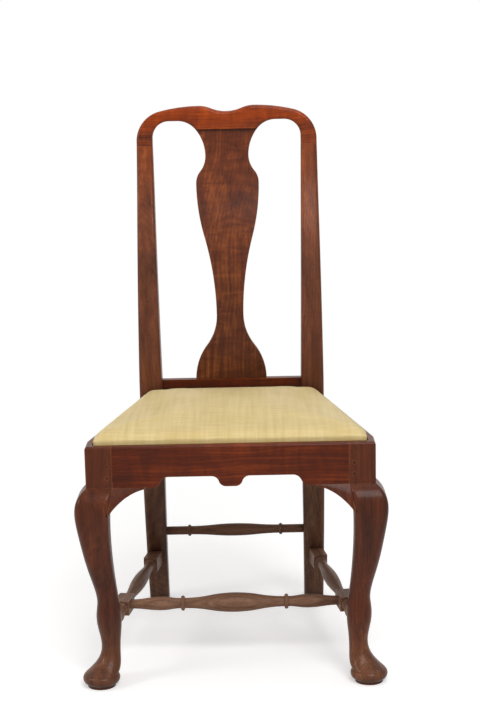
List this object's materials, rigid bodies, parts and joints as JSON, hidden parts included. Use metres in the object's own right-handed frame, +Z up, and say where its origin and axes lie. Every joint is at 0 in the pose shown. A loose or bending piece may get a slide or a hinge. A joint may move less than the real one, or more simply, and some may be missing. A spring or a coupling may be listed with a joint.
{
  "type": "side chair",
  "caption": "Wooden side chair with cabriole front legs, pad feet, turned stretchers, a vase-shaped splat, a yoke crest rail and an upholstered slip seat that lifts out.",
  "frame": {"origin": "on the floor, under the middle of the chair's footprint", "axes": "+Z up, -Y to the front of the seat, +X to the right as seen from the front"},
  "size_m": [0.544, 0.5073, 0.998],
  "materials": {
    "walnut": "polished",
    "pin_wood": "polished",
    "secondary_wood": "bare",
    "iron": "forged",
    "cover": "woven silk",
    "linen": "plain weave",
    "webbing": "coarse weave",
    "stuffing": "horsehair"
  },
  "bodies": {
    "chair_frame": {"crest_rail": "walnut", "right_back_post": "walnut", "left_back_post": "walnut", "splat": "walnut", "shoe": "walnut", "rear_seat_rail": "walnut", "front_seat_rail": "walnut", "right_seat_rail": "walnut", "left_seat_rail": "walnut", "right_front_leg": "walnut", "left_front_leg": "walnut", "right_front_knee_bracket": "walnut", "left_front_knee_bracket": "walnut", "right_side_knee_bracket": "walnut", "left_side_knee_bracket": "walnut", "right_side_stretcher": "walnut", "left_side_stretcher": "walnut", "medial_stretcher": "walnut", "rear_stretcher": "walnut", "front_leg_pins": "pin_wood", "back_post_pins": "pin_wood", "crest_rail_pins": "pin_wood", "right_corner_block": "secondary_wood", "left_corner_block": "secondary_wood", "shoe_nails": "iron", "knee_bracket_nails": "iron"},
    "slip_seat": {"seat_frame_front": "secondary_wood", "seat_frame_rear": "secondary_wood", "seat_frame_right": "secondary_wood", "seat_frame_left": "secondary_wood", "lengthwise_webbing": "webbing", "crosswise_webbing": "webbing", "seat_linen": "linen", "seat_stuffing": "stuffing", "seat_cover": "cover", "cover_tacks": "iron"}
  },
  "joints": [
    {"name": "slip_seat_lift", "type": "slide", "parent": "chair_frame", "child": "slip_seat", "axis": [0, 0, 1], "range_m": [0, 0.12]}
  ]
}
